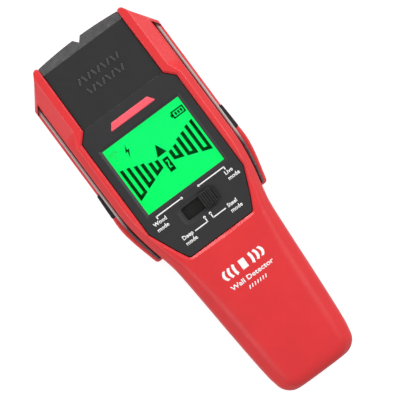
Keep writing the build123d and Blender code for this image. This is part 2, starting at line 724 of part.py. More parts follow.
def door_outline(grow=0.0):
    return block(-DOOR_X - grow, DOOR_X + grow, TAIL_Y - 5, DOOR_Y1 + grow, -1, FLOOR_Z)


def door_tongues(tail_y, grow=0.0):
    """Side tongues that ride in the grooves of the lower housing, or the grooves when grow is given."""
    z0 = BACK_Z + 0.75 - grow
    z1 = BACK_Z + 1.45 + grow
    reach = DOOR_X + DOOR_TONGUE + grow
    return block(-reach, reach, tail_y, DOOR_Y1 - 3.0 + grow, z0, z1)


def door_opening(grow):
    """Battery opening in the back, open towards the tail, with its side grooves."""
    return door_outline(grow) + door_tongues(TAIL_Y - 1, grow)


def battery_door():
    """Sliding lid of the battery bay; its tail end follows the rounded tail."""
    skin = spine_loft(lower_section) & door_outline()
    lid = skin + (door_tongues(TAIL_Y + 6) & spine_loft(lower_section))
    for i in range(4):
        y = TAIL_Y + 24 + i * 2.6
        lid -= block(-7 + i, 7 - i, y - 0.5, y + 0.5, 0, BACK_Z + 0.5)
    return lid


# ---- fasteners, pads and label ----


def case_screws():
    """Self-tapping screws with a cross recess, one in each boss."""
    screws = []
    for x, y in SCREWS:
        head = pin(x, y, SCREW_HEAD_R, SCREW_HEAD_Z - 1.8, SCREW_HEAD_Z)
        shank = pin(x, y, SCREW_R - 0.03, SCREW_HEAD_Z, SCREW_TIP_Z)
        recess = block(x - 1.6, x + 1.6, y - 0.35, y + 0.35, 1, 2.8)
        recess += block(x - 0.35, x + 0.35, y - 1.6, y + 1.6, 1, 2.8)
        screws.append((head + shank - recess).solid())
    return Compound(screws)


def glide_pads():
    """Felt strips that carry the head over the wall."""
    strips = []
    for x in (-17.5, 17.5):
        strip = slab(Pos(x, 45) * SlotCenterToCenter(60, 5.0, rotation=90), 0, BACK_Z)
        strips.append(strip.solid())
    return Compound(strips)


def tail_feet():
    """Small rubber feet either side of the battery door."""
    feet = [slab(Pos(x, -66) * SlotCenterToCenter(7, 2.2, rotation=90), 0, BACK_Z) for x in (-16.9, 16.9)]
    return Compound([foot.solid() for foot in feet])


def rating_label():
    """Blank sticker on the back of the head."""
    return slab(Pos(0, 44) * RectangleRounded(24, 40, 1.5), BACK_Z - 0.12, BACK_Z)


def main():
    nodes = {
        "upper_shell": upper_shell(),
        "lower_shell": lower_shell(),
        "nose_cover": nose_cover(),
        "faceplate": faceplate(),
        "lcd_window": lcd_window(),
        "lcd_glass": lcd_glass(),
        "lcd_backlight": lcd_backlight(),
        "lcd_frame": lcd_frame(),
        "lcd_connector_strip": lcd_connector_strip(),
        "light_pipe": light_pipe(),
        "indicator_leds": indicator_leds(),
        "mode_knob": mode_knob(),
        "mode_shutter": mode_shutter(),
        "mode_switch_slider": mode_switch_slider(),
        "mode_switch_housing": mode_switch_housing(),
        "scan_button": scan_button(),
        "tact_switch_plunger": tact_switch_plunger(),
        "tact_switch_body": tact_switch_body(),
        "button_blank": button_blank(),
        "side_trim_right": side_trim(),
        "side_trim_left": mirror(side_trim(), Plane.YZ),
        "main_board": main_board(),
        "sensor_board": sensor_board(),
        "sensor_plates": sensor_plates(),
        "detection_coil": detection_coil(),
        "coil_bobbin": coil_bobbin(),
        "board_header": board_header(),
        "microcontroller": microcontroller(),
        "buzzer": buzzer(),
        "battery": battery(),
        "battery_terminals": battery_terminals(),
        "contact_plate": contact_plate(),
        "battery_lead_positive": battery_leads(-1),
        "battery_lead_negative": battery_leads(1),
        "battery_door": battery_door(),
        "case_screws": case_screws(),
        "glide_pads": glide_pads(),
        "tail_feet": tail_feet(),
        "rating_label": rating_label(),
    }
    os.makedirs("parts", exist_ok=True)
    for name, shape in nodes.items():
        export_step(shape, f"parts/{name}.step")


main()
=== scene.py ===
"""Looks of the stud finder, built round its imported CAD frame.

Blender's lengths are metres.  Names that end in _MM, and the outlines of all print and raised marks,
are in millimetres, in the part's own frame: X across the face, Y towards the nose, Z out of the face.
"""
import json
import math

import bmesh
import bpy
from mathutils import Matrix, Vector
from mathutils.bvhtree import BVHTree


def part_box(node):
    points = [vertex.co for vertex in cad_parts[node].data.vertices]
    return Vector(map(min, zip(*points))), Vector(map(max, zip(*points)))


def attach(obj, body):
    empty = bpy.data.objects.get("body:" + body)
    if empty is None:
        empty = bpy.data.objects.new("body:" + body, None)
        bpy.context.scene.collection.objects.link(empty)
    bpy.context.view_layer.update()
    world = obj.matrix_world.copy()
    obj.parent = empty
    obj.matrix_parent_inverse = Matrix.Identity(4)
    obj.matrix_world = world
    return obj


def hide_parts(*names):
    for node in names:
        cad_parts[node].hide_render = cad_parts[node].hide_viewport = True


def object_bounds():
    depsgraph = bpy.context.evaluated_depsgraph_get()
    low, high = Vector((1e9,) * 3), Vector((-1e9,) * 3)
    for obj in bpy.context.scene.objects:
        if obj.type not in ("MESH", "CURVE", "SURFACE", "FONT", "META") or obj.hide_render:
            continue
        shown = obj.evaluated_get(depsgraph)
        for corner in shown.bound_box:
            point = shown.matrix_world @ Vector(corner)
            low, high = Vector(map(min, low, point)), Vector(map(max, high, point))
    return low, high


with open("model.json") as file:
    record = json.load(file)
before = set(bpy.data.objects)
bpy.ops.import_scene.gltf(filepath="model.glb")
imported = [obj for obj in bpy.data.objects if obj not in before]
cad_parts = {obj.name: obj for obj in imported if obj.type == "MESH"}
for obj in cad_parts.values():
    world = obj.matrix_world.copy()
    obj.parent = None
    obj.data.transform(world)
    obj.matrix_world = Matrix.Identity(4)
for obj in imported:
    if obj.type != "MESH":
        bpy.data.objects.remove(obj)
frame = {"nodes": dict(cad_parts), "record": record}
cad_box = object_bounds()
nodes = frame["nodes"]
MM = 0.001

HOUSING = "housing"


# ---------------------------------------------------------------- materials


def new_material(name):
    """Material with a Principled shader; returns it, its node tree and the shader."""
    mat = bpy.data.materials.new(name)
    mat.use_nodes = True
    tree = mat.node_tree
    return mat, tree, tree.nodes["Principled BSDF"]


def add(tree, kind, **values):
    """New node with the given input values, keyed by socket name with _ for a space."""
    node = tree.nodes.new(kind)
    for key, value in values.items():
        node.inputs[key.replace("_", " ")].default_value = value
    return node


def noise(tree, scale, detail=3.0, roughness=0.55):
    """Noise in object space; scale is features per metre."""
    where = add(tree, "ShaderNodeTexCoord")
    node = add(tree, "ShaderNodeTexNoise", Scale=scale, Detail=detail, Roughness=roughness)
    tree.links.new(where.outputs["Object"], node.inputs["Vector"])
    return node.outputs["Fac"]


def ranged(tree, value, low, high, from_low=0.3, from_high=0.7):
    """Value brought from one range to another, and held at the ends."""
    node = add(tree, "ShaderNodeMapRange")
    node.inputs["From Min"].default_value = from_low
    node.inputs["From Max"].default_value = from_high
    node.inputs["To Min"].default_value = low
    node.inputs["To Max"].default_value = high
    tree.links.new(value, node.inputs["Value"])
    return node.outputs["Result"]


def mixed(tree, factor, first, second):
    """Colour between two; either may be a colour or a socket."""
    node = tree.nodes.new("ShaderNodeMix")
    node.data_type = "RGBA"
    tree.links.new(factor, node.inputs["Factor"])
    for name, value in (("A", first), ("B", second)):
        socket = [s for s in node.inputs if s.name == name and s.type == "RGBA"][0]
        if isinstance(value, tuple):
            socket.default_value = (*value, 1.0)
        else:
            tree.links.new(value, socket)
    return [s for s in node.outputs if s.type == "RGBA"][0]


def soft_edges(tree, radius):
    """Normal rounded over sharp edges, and a mask of where those edges are."""
    bevel = add(tree, "ShaderNodeBevel", Radius=radius)
    bevel.samples = 6
    geometry = add(tree, "ShaderNodeNewGeometry")
    likeness = tree.nodes.new("ShaderNodeVectorMath")
    likeness.operation = "DOT_PRODUCT"
    tree.links.new(bevel.outputs["Normal"], likeness.inputs[0])
    tree.links.new(geometry.outputs["Normal"], likeness.inputs[1])
    edge = ranged(tree, likeness.outputs["Value"], 1.0, 0.0, 0.9, 0.995)
    return bevel.outputs["Normal"], edge


def along(tree, axis, first, last, before, after):
    """Colour that changes from one to the other between two places along an axis, in millimetres."""
    where = add(tree, "ShaderNodeTexCoord")
    split = tree.nodes.new("ShaderNodeSeparateXYZ")
    tree.links.new(where.outputs["Object"], split.inputs["Vector"])
    share = ranged(tree, split.outputs[axis], 0.0, 1.0, first * MM, last * MM)
    return mixed(tree, share, before, after)


def bumped(tree, shader, height, strength, distance, normal=None):
    """Gives the shader a bump from a height, on top of the given normal."""
    bump = add(tree, "ShaderNodeBump", Strength=strength, Distance=distance)
    tree.links.new(height, bump.inputs["Height"])
    if normal is not None:
        tree.links.new(normal, bump.inputs["Normal"])
    tree.links.new(bump.outputs["Normal"], shader.inputs["Normal"])


def moulded(name, colour, edge_wear_and_highlight, roughness=(0.32, 0.42), grain=3200.0, depth=0.02, ior=1.42, zone=None):
    """Moulded plastic or rubber: spark-eroded grain, faint mottling, and edges paler as wear and painted
    highlight.

    The grain's depth is in millimetres.  A zone gives the material another colour up to some place: it
    holds the axis, where the change begins and ends in millimetres, and that other colour.
    """
    mat, tree, shader = new_material(name)
    normal, edges = soft_edges(tree, 0.35 * MM)
    patches = ranged(tree, noise(tree, 90.0), 0.0, 1.0)
    mottle = mixed(tree, patches, colour, tuple(c * 0.93 for c in colour))
    if zone:
        axis, first, last, before = zone
        mottle = along(tree, axis, first, last, before, mottle)
    # Paler edges in patches: part wear, part a painted highlight along the rims.
    edge_wear_and_highlight_mask = add(tree, "ShaderNodeMath")
    edge_wear_and_highlight_mask.operation = "MULTIPLY"
    tree.links.new(edges, edge_wear_and_highlight_mask.inputs[0])
    tree.links.new(ranged(tree, noise(tree, 420.0), 0.1, 0.8), edge_wear_and_highlight_mask.inputs[1])
    tree.links.new(mixed(tree, edge_wear_and_highlight_mask.outputs["Value"], mottle, edge_wear_and_highlight), shader.inputs["Base Color"])
    tree.links.new(ranged(tree, noise(tree, 260.0), *roughness), shader.inputs["Roughness"])
    shader.inputs["IOR"].default_value = ior
    bumped(tree, shader, noise(tree, grain, 4.0), 0.5, depth * MM, normal)
    return mat


def metal(name, colour, roughness=(0.22, 0.38)):
    """Metal with faint tarnish, uneven polish and fine grain."""
    mat, tree, shader = new_material(name)
    normal, _ = soft_edges(tree, 0.15 * MM)
    shader.inputs["Metallic"].default_value = 1.0
    shade = mixed(tree, ranged(tree, noise(tree, 300.0), 0.0, 1.0), colour, tuple(c * 0.8 for c in colour))
    tree.links.new(shade, shader.inputs["Base Color"])
    tree.links.new(ranged(tree, noise(tree, 700.0), *roughness), shader.inputs["Roughness"])
    bumped(tree, shader, noise(tree, 1500.0), 0.3, 0.01 * MM, normal)
    return mat


def lens_material():
    """Clear acrylic with little glare, its surface very slightly wavy."""
    mat, tree, shader = new_material("clear_acrylic")
    shader.inputs["Base Color"].default_value = (0.97, 1.0, 0.98, 1.0)
    shader.inputs["Transmission Weight"].default_value = 1.0
    shader.inputs["IOR"].default_value = 1.05
    tree.links.new(ranged(tree, noise(tree, 60.0), 0.02, 0.06), shader.inputs["Roughness"])
    bumped(tree, shader, noise(tree, 35.0, 1.0), 0.05, 0.02 * MM)
    return mat


def display_material():
    """Green glass lit from behind, a little unevenly."""
    mat, tree, shader = new_material("display_green")
    bright, dim = (0.002, 1.0, 0.135), (0.006, 0.95, 0.17)
    light = mixed(tree, ranged(tree, noise(tree, 28.0, 1.0), 0.0, 1.0, 0.35, 0.65), bright, dim)
    shader.inputs["Base Color"].default_value = (0.001, 0.05, 0.012, 1.0)
    shader.inputs["Specular IOR Level"].default_value = 0.02
    tree.links.new(light, shader.inputs["Emission Color"])
    shader.inputs["Emission Strength"].default_value = 0.97
    tree.links.new(ranged(tree, noise(tree, 900.0), 0.2, 0.3), shader.inputs["Roughness"])
    return mat


def glow_material(name, colour, glow, strength, roughness=0.3):
    """Translucent coloured plastic lit through from below."""
    mat, tree, shader = new_material(name)
    normal, _ = soft_edges(tree, 0.3 * MM)
    body = mixed(tree, ranged(tree, noise(tree, 220.0), 0.0, 1.0), colour, tuple(c * 0.88 for c in colour))
    tree.links.new(body, shader.inputs["Base Color"])
    shader.inputs["Emission Color"].default_value = (*glow, 1.0)
    shader.inputs["Emission Strength"].default_value = strength
    shader.inputs["Subsurface Weight"].default_value = 0.35
    shader.inputs["Subsurface Scale"].default_value = 1.5 * MM
    shader.inputs["Roughness"].default_value = roughness
    bumped(tree, shader, noise(tree, 700.0), 0.05, 0.01 * MM, normal)
    return mat


def board_material():
    """Green solder mask with a faint pattern of copper tracks under it."""
    mat, tree, shader = new_material("solder_mask")
    where = add(tree, "ShaderNodeTexCoord")
    tracks = add(tree, "ShaderNodeTexBrick", Scale=320.0, Mortar_Size=0.08)
    tracks.inputs["Color1"].default_value = (0.012, 0.13, 0.04, 1.0)
    tracks.inputs["Color2"].default_value = (0.016, 0.16, 0.05, 1.0)
    tracks.inputs["Mortar"].default_value = (0.03, 0.24, 0.08, 1.0)
    tree.links.new(where.outputs["Object"], tracks.inputs["Vector"])
    tree.links.new(tracks.outputs["Color"], shader.inputs["Base Color"])
    tree.links.new(ranged(tree, noise(tree, 500.0), 0.25, 0.4), shader.inputs["Roughness"])
    bumped(tree, shader, tracks.outputs["Fac"], 0.2, 0.02 * MM)
    return mat


def felt_material():
    """Black felt: fine fibres under a soft sheen."""
    mat, tree, shader = new_material("felt")
    fibre = noise(tree, 5200.0, 8.0, 0.7)
    shade = mixed(tree, fibre, (0.02, 0.02, 0.022), (0.09, 0.09, 0.095))
    tree.links.new(shade, shader.inputs["Base Color"])
    shader.inputs["Roughness"].default_value = 0.95
    shader.inputs["Sheen Weight"].default_value = 0.4
    shader.inputs["Sheen Roughness"].default_value = 0.5
    bumped(tree, shader, fibre, 0.8, 0.12 * MM)
    return mat


def label_material():
    """Matt foil, slightly creased."""
    mat, tree, shader = new_material("label_film")
    cloud = ranged(tree, noise(tree, 150.0), 0.0, 1.0)
    tree.links.new(mixed(tree, cloud, (0.62, 0.62, 0.63), (0.55, 0.55, 0.56)), shader.inputs["Base Color"])
    shader.inputs["Metallic"].default_value = 0.3
    tree.links.new(ranged(tree, noise(tree, 700.0), 0.3, 0.45), shader.inputs["Roughness"])
    bumped(tree, shader, noise(tree, 120.0), 0.25, 0.05 * MM)
    return mat


def ink_material(name, colour, roughness=0.5, specular=0.5):
    """Pad-printed ink, thin in spots."""
    mat, tree, shader = new_material(name)
    thin = tuple(c * 0.86 for c in colour)
    spots = ranged(tree, noise(tree, 1400.0), 0.0, 1.0)
    tree.links.new(mixed(tree, spots, colour, thin), shader.inputs["Base Color"])
    shader.inputs["Roughness"].default_value = roughness
    shader.inputs["Specular IOR Level"].default_value = specular
    bumped(tree, shader, noise(tree, 2600.0), 0.2, 0.01 * MM)
    return mat


RED = (0.66, 0.025, 0.029)
# Paler red for the edges: part wear, part a painted highlight along the rims of the wings and handle.
RED_EDGE_WEAR_AND_HIGHLIGHT = (0.74, 0.06, 0.062)
NOSE_BLACK = (0.019, 0.019, 0.019)
FASCIA_BLACK = (0.023, 0.023, 0.0245)
BLACK_WORN = (0.07, 0.07, 0.07)
KNOB_BLACK = (0.013, 0.013, 0.012)
KNOB_WORN = (0.05, 0.05, 0.05)
RUBBER_BLACK = (0.012, 0.012, 0.013)
RUBBER_WORN = (0.04, 0.04, 0.04)
# Side band: pale grey as a painted highlight from above, turning between Y 10 and 17 mm to near black as
# painted shade
TRIM_HIGHLIT_GREY = (0.42, 0.41, 0.395)
# where the band lies in the side bulge's shadow towards the tail.
TRIM_WORN = (0.5, 0.5, 0.5)
TRIM_PAINTED_SHADE = (0.035, 0.032, 0.032)
TRIM_SHADE_FADE_MM = (10.0, 17.0)
WRAP_GOLD = (0.42, 0.24, 0.08)
WRAP_WORN = (0.5, 0.4, 0.3)
WRAP_BLACK = (0.02, 0.022, 0.03)
GOLD_BAND_MM = 15.0
GOLD_EDGE_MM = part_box("battery")[1].y / MM - GOLD_BAND_MM
trim_shade_zone = ("Y", *TRIM_SHADE_FADE_MM, TRIM_PAINTED_SHADE)
wrap_zone = ("Y", GOLD_EDGE_MM - 0.2, GOLD_EDGE_MM, WRAP_BLACK)
MATERIALS = {
    "housing_red": moulded("housing_red", RED, RED_EDGE_WEAR_AND_HIGHLIGHT),
    "door_plastic": moulded("door_red", RED, RED_EDGE_WEAR_AND_HIGHLIGHT, (0.36, 0.46)),
    "black_plastic": moulded("nose_black", NOSE_BLACK, BLACK_WORN, (0.42, 0.54), 2600.0, 0.03, 1.36),
    "fascia_plastic": moulded("fascia_black", FASCIA_BLACK, BLACK_WORN, (0.4, 0.5), ior=1.36),
    "knob_plastic": moulded("knob_black", KNOB_BLACK, KNOB_WORN, (0.4, 0.52), ior=1.3),
    "button_rubber": moulded("button_rubber", RUBBER_BLACK, RUBBER_WORN, (0.55, 0.7), 2200.0, 0.04),
    # The band's pale grey is a painted highlight, and its dark end towards the tail a painted shade.
    "trim_rubber": moulded("trim_rubber", TRIM_HIGHLIT_GREY, TRIM_WORN, (0.4, 0.5), zone=trim_shade_zone),
    "white_plastic": moulded("carrier_white", (0.62, 0.62, 0.6), (0.7, 0.7, 0.68)),
    "elastomer": moulded("elastomer_grey", (0.2, 0.2, 0.21), (0.3, 0.3, 0.3), (0.6, 0.8)),
    "chip": moulded("moulded_resin", (0.02, 0.02, 0.021), (0.06, 0.06, 0.06), (0.5, 0.65)),
    "battery_wrap": moulded("battery_wrap", WRAP_GOLD, WRAP_WORN, (0.2, 0.3), zone=wrap_zone),
    "lead_red": moulded("lead_red", (0.5, 0.02, 0.02), (0.6, 0.1, 0.1)),
    "lead_black": moulded("lead_black", (0.015, 0.015, 0.015), (0.05, 0.05, 0.05)),
    "copper": metal("copper", (0.78, 0.42, 0.26)),
    "gold_pins": metal("gold_pins", (0.85, 0.66, 0.32)),
    "plated_steel": metal("plated_steel", (0.62, 0.62, 0.6)),
    "screw_steel": metal("screw_steel", (0.16, 0.16, 0.165), (0.3, 0.45)),
    "circuit_board": board_material(),
    "clear_lens": lens_material(),
    "lcd_glass": display_material(),
    "backlight": glow_material("light_guide", (0.1, 0.8, 0.3), (0.02, 0.9, 0.2), 0.6),
    "translucent_red": glow_material("bar_red", (0.78, 0.08, 0.11), (1.0, 0.12, 0.16), 0.18, 0.5),
    "led": glow_material("lamp_resin", (0.8, 0.75, 0.5), (1.0, 0.8, 0.5), 0.3),
    "felt": felt_material(),
    "label": label_material(),
}
for part in frame["record"]["subparts"]:
    mesh = nodes[part["node"]].data
    mesh.materials.clear()
    mesh.materials.append(MATERIALS[part["material_slot"]])

WHITE_INK = ink_material("ink_white", (0.88, 0.88, 0.88))
BLACK_INK = ink_material("ink_black", (0.03, 0.03, 0.03))
DISPLAY_INK = ink_material("display_ink", (0.0, 0.045, 0.006), 0.4, 0.02)
DISPLAY_GHOST = glow_material("display_ghost", (0.001, 0.1, 0.02), (0.002, 0.72, 0.1), 0.9)
# The nose's own black made paler and glossier: a painted highlight, so that the low raised marks show from
# above.
EMBOSS_PAINTED_HIGHLIGHT = moulded("nose_marks_highlit", (0.045, 0.045, 0.045), (0.16, 0.16, 0.16), (0.3, 0.4), ior=1.4)


# ---------------------------------------------------------------- thin printed and raised pieces


SINK_MM = 0.01
WELD_MM = 0.002
ABOVE_ALL = 0.1


def level(z):
    """Finder for a flat surface: its height in metres at a place in the plan."""
    return lambda x, y: z


def surface_of(node):
    """Finder for the top surface of a CAD node: its height in metres at a place in the plan."""
    mesh = nodes[node].data
    tree = BVHTree.FromPolygons([v.co[:] for v in mesh.vertices], [p.vertices[:] for p in mesh.polygons])

    def height(x, y):
        hit = tree.ray_cast(Vector((x, y, ABOVE_ALL)), Vector((0, 0, -1)))[0]
        return hit.z

    return height


def cut_up(bm, pitch):
    """Cuts a flat mesh along a grid, so that it can follow a curved surface."""
    for axis in (0, 1):
        places = [v.co[axis] for v in bm.verts]
        normal = Vector((1, 0, 0)) if axis == 0 else Vector((0, 1, 0))
        place = math.ceil(min(places) / pitch) * pitch
        while place < max(places):
            geom = bm.verts[:] + bm.edges[:] + bm.faces[:]
            bmesh.ops.bisect_plane(bm, geom=geom, plane_co=normal * place, plane_no=normal)
            place += pitch


def lay(name, bm, height, body, material, thick, pitch=None, up=1):
    """Lays a flat mesh on a surface, sunk in a little, as a closed skin of the given thickness.

    Thickness and pitch, the grid that it is cut along, are in millimetres; up is -1 on the back.
    """
    if pitch:
        cut_up(bm, pitch * MM)
    bmesh.ops.remove_doubles(bm, verts=bm.verts, dist=WELD_MM * MM)
    for v in bm.verts:
        v.co.z = height(v.co.x, v.co.y) - up * SINK_MM * MM
    bmesh.ops.recalc_face_normals(bm, faces=bm.faces)
    if sum(f.normal.z for f in bm.faces) < 0:
        bmesh.ops.reverse_faces(bm, faces=bm.faces)
    under = bmesh.ops.duplicate(bm, geom=bm.verts[:] + bm.edges[:] + bm.faces[:])
    copies = [g for g in under["geom"] if isinstance(g, bmesh.types.BMVert)]
    flipped = [g for g in under["geom"] if isinstance(g, bmesh.types.BMFace)]
    bmesh.ops.reverse_faces(bm, faces=flipped)
    pair = under["vert_map"]
    done = set(copies)
    for v in bm.verts:
        if v not in done:
            v.co.z += up * thick * MM
    rims = [e for e in bm.edges if e.is_boundary and e.verts[0] not in done]
    for e in rims:
        a, b = e.verts
        bm.faces.new((b, a, pair[a], pair[b]))
    bmesh.ops.recalc_face_normals(bm, faces=bm.faces)
    mesh = bpy.data.meshes.new(name)
    bm.to_mesh(mesh)
    bm.free()
    piece = bpy.data.objects.new(name, mesh)
    bpy.context.scene.collection.objects.link(piece)
    mesh.materials.append(material)
    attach(piece, body)


def polygons(outlines):
    """Flat mesh of polygons given in millimetres."""
    bm = bmesh.new()
    for outline in outlines:
        bm.faces.new([bm.verts.new((x * MM, y * MM, 0)) for x, y in outline])
    return bm


def bar(x0, y0, x1, y1):
    """Outline of an upright rectangle."""
    return [(x0, y0), (x1, y0), (x1, y1), (x0, y1)]


def stroke(x0, y0, x1, y1, width):
    """Outline of a straight stroke of the given width."""
    run = Vector((x1 - x0, y1 - y0)).normalized() * width / 2
    side = Vector((-run.y, run.x))
    a, b = Vector((x0, y0)), Vector((x1, y1))
    return [tuple(p) for p in (a + side, a - side, b - side, b + side)]


def dot(x, y, radius, points=20):
    """Outline of a round dot."""
    turn = 2 * math.pi / points
    return [(x + radius * math.cos(i * turn), y + radius * math.sin(i * turn)) for i in range(points)]


def arc_band(x, y, radius, width, first, last, squash=1.0):
    """Outline of a curved stroke round (x, y), between two angles in degrees, flattened along y by squash."""
    steps = 12
    angles = [math.radians(first + (last - first) * i / steps) for i in range(steps + 1)]
    wide = radius + width
    outer = [(x + wide * math.cos(a), y + wide * math.sin(a) * squash) for a in angles]
    inner = [(x + radius * math.cos(a), y + radius * math.sin(a) * squash) for a in reversed(angles)]
    return outer + inner


CAP_SHARE = 0.7
LINE_SPACING = 1.1


def lettering(lines, x, y, size, weight, align="CENTER", stretch=1.0):
    """Flat mesh of text; its first baseline is at y, and its capitals are about size millimetres tall."""
    curve = bpy.data.curves.new("lettering", "FONT")
    curve.body = "\n".join(lines)
    curve.align_x = align
    curve.size = 1.0
    curve.space_line = LINE_SPACING
    curve.offset = weight
    curve.resolution_u = 3
    text = bpy.data.objects.new("lettering", curve)
    bpy.context.scene.collection.objects.link(text)
    bpy.context.view_layer.update()
    solved = text.evaluated_get(bpy.context.evaluated_depsgraph_get())
    mesh = bpy.data.meshes.new_from_object(solved)
    bpy.data.objects.remove(text)
    bm = bmesh.new()
    bm.from_mesh(mesh)
    scale = size / CAP_SHARE * MM
    for v in bm.verts:
        v.co = Vector((v.co.x * scale * stretch + x * MM, v.co.y * scale + y * MM, 0))
    return bm


# ---------------------------------------------------------------- display graphics


def signal_columns():
    """Pairs of bars joined at the foot, taller outwards, on both sides of the arrow."""
    shapes = []
    # inner edge, outer edge, bar width, then the tops and the feet at the inner and the outer edge
    columns = [
        (2.9, 7.3, 1.6, 26.3, 27.4, 22.1, 20.6),
        (8.7, 13.2, 1.6, 28.7, 29.9, 20.0, 18.4),
        (14.7, 19.2, 1.5, 30.9, 31.9, 17.7, 16.1),
    ]
    top_slope, web_slope, web_height = 0.3, 0.35, 1.5
    for inner, outer, width, top_in, top_out, foot_in, foot_out in columns:
        fall = (foot_out - foot_in) / (outer - inner) * width
        left, right = inner + width, outer - width
        web = foot_in + fall + web_height
        bars = [
            [(inner, foot_in), (left, foot_in + fall), (left, top_in + top_slope), (inner, top_in)],
            [(right, foot_out - fall), (outer, foot_out), (outer, top_out), (right, top_out - top_slope)],
            [(left, foot_in + fall), (right, foot_out - fall), (right, web - web_slope), (left, web)],
        ]
        for side in (-1, 1):
            shapes += [[(side * x, y) for x, y in shape] for shape in bars]
    return shapes


def centre_mark():
    """Dark block under the arrow, with a clear zigzag in it."""
    head, foot = bar(-1.4, 24.0, 1.4, 25.2), bar(-1.4, 18.5, 1.4, 20.2)
    left, right = bar(-1.4, 20.2, -0.6, 24.0), bar(0.6, 20.2, 1.4, 24.0)
    upper_fill = [(-0.6, 23.4), (-0.6, 21.3), (0.1, 23.4)]
    lower_fill = [(0.6, 22.9), (-0.1, 20.8), (0.6, 20.8)]
    return [head, foot, left, right, upper_fill, lower_fill]


def battery_sign():
    """Battery lying on its side: a case, a nub and three charge bars."""
    case = [bar(13.7, 36.0, 19.6, 36.6), bar(13.7, 38.8, 19.6, 39.4), bar(13.4, 36.0, 14.1, 39.4)]
    case += [bar(19.0, 36.6, 19.6, 38.8), bar(12.7, 37.0, 13.4, 38.4)]
    charge = [bar(14.8 + 1.4 * i, 37.0, 15.7 + 1.4 * i, 38.4) for i in range(3)]
    return case + charge


def display_symbols():
    """Arrow and bolt, then the centre mark and the battery."""
    arrow = [(-2.4, 27.0), (2.4, 27.0), (0.0, 32.2)]
    bolt = [(-10.5, 40.0), (-12.3, 36.7), (-11.2, 36.8), (-12.0, 33.9), (-9.9, 37.6), (-11.0, 37.5)]
    return [arrow, bolt] + centre_mark() + battery_sign()


def idle_symbol():
    """Symbol of a mode that isn't on: two short arcs over a dot."""
    x, y = -17.0, 37.6
    arcs = [arc_band(x, y, radius, 0.6, 35, 145) for radius in (1.3, 2.4)]
    return [dot(x, y, 0.5)] + arcs


DISPLAY_PRINT_MM = 0.05
on_glass = level(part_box("lcd_glass")[1].z)
segments = polygons(signal_columns() + display_symbols())
lay("display_segments", segments, on_glass, HOUSING, DISPLAY_INK, DISPLAY_PRINT_MM)
idle = polygons(idle_symbol())
lay("display_idle_symbol", idle, on_glass, HOUSING, DISPLAY_GHOST, DISPLAY_PRINT_MM)

# ---------------------------------------------------------------- print on the face plate

MODE_STEP_MM = 3.03
LINE_MM = 0.5
FACE_PRINT_MM = 0.03


def leaders():
    """Lines that join each slide position to its words, with a dot at the slide's end."""
    shapes = []
    upper, lower, half = 6.9, -7.9, LINE_MM / 2
    for side in (-1, 1):
        far, near = side * 1.5 * MODE_STEP_MM, side * 0.5 * MODE_STEP_MM
        far_end, near_end = side * 18.0, side * 8.2
        shapes += [dot(far, upper, 0.55), stroke(far, upper, far_end, upper, LINE_MM)]
        shapes += [stroke(far_end, upper + half, far_end, 5.6, LINE_MM)]
        shapes += [dot(near, -5.6, 0.6), stroke(near, -5.6, near, lower - half, LINE_MM)]
        shapes += [stroke(near, lower, near_end, lower, LINE_MM)]
    return shapes


on_face = level(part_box("faceplate")[1].z)
for index, shape in enumerate(leaders()):
    leader = polygons([shape])
    lay(f"print_leader_{index}", leader, on_face, HOUSING, WHITE_INK, FACE_PRINT_MM)

# each mode's own word, the left edge of its words and their first baseline
MODES = [("Wood", -21.2, 3.5), ("Live", 16.6, 3.5), ("Deep", -14.7, -8.4), ("Steel", 9.3, -8.4)]
for index, (mode, x, y) in enumerate(MODES):
    words = lettering((mode, "mode"), x, y, 1.75, 0.024, "LEFT")
    lay(f"print_words_{index}", words, on_face, HOUSING, WHITE_INK, FACE_PRINT_MM)

# ---------------------------------------------------------------- print on the handle


SHELL_PRINT_MM = 0.04
SHELL_PITCH_MM = 1.0
SIGN_Y_MM = -31.45
on_shell = surface_of("upper_shell")


def stud_sign():
    """Plain sign for what the tool does: a post with waves of one height spreading from it."""
    shapes = [bar(-1.5, SIGN_Y_MM - 2.25, 1.5, SIGN_Y_MM + 2.25)]
    for side in (0, 180):
        for ring in range(3):
            radius = 4.0 + 2.7 * ring
            shapes.append(arc_band(0.0, SIGN_Y_MM, radius, 1.3, side - 28, side + 28, 4.4 / radius))
    return shapes


def hatching():
    """Row of short slanted strokes under the caption."""
    lean, width, first, pitch, count = 0.35, 0.45, -3.6, 1.4, 7
    middles = [first + pitch * i for i in range(count)]
    return [stroke(x - lean, -42.1, x + lean, -40.6, width) for x in middles]


def print_on_shell(name, bm):
    """Lays white print over the handle's crown."""
    lay(name, bm, on_shell, HOUSING, WHITE_INK, SHELL_PRINT_MM, SHELL_PITCH_MM)


for index, shape in enumerate(stud_sign()):
    print_on_shell(f"print_sign_{index}", polygons([shape]))
print_on_shell("print_caption", lettering(("Wall Detector",), 0.3, -38.5, 2.1, 0.022, stretch=1.22))
print_on_shell("print_hatching", polygons(hatching()))

# ---------------------------------------------------------------- raised marks on the nose


def nose_marks():
    """Two rows of raised bars that lean to either side in turn."""
    pitch, half_height, lean, width = 2.5, 1.4, 0.5, 0.9
    shapes = []
    for row, (y, count) in enumerate(((72.9, 9), (67.4, 8))):
        for i in range(count):
            x = (i - (count - 1) / 2) * pitch
            tilt = lean if i % 2 == row else -lean
            shapes.append(stroke(x - tilt, y - half_height, x + tilt, y + half_height, width))
    return shapes


on_nose = level(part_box("nose_cover")[1].z)
# The marks wear the paler black of the nose, a painted highlight.
lay("nose_marks", polygons(nose_marks()), on_nose, HOUSING, EMBOSS_PAINTED_HIGHLIGHT, 0.3)

# ---------------------------------------------------------------- the back


FELT_WIDTH = 5.0 * MM
FELT_FACET = 1.5 * MM
FELT_STEPS = 8
WOOL_DEPTH = 0.05 * MM
# radians per metre across and along the strip
WOOL_WAVE_X, WOOL_WAVE_Y = 9100, 5300


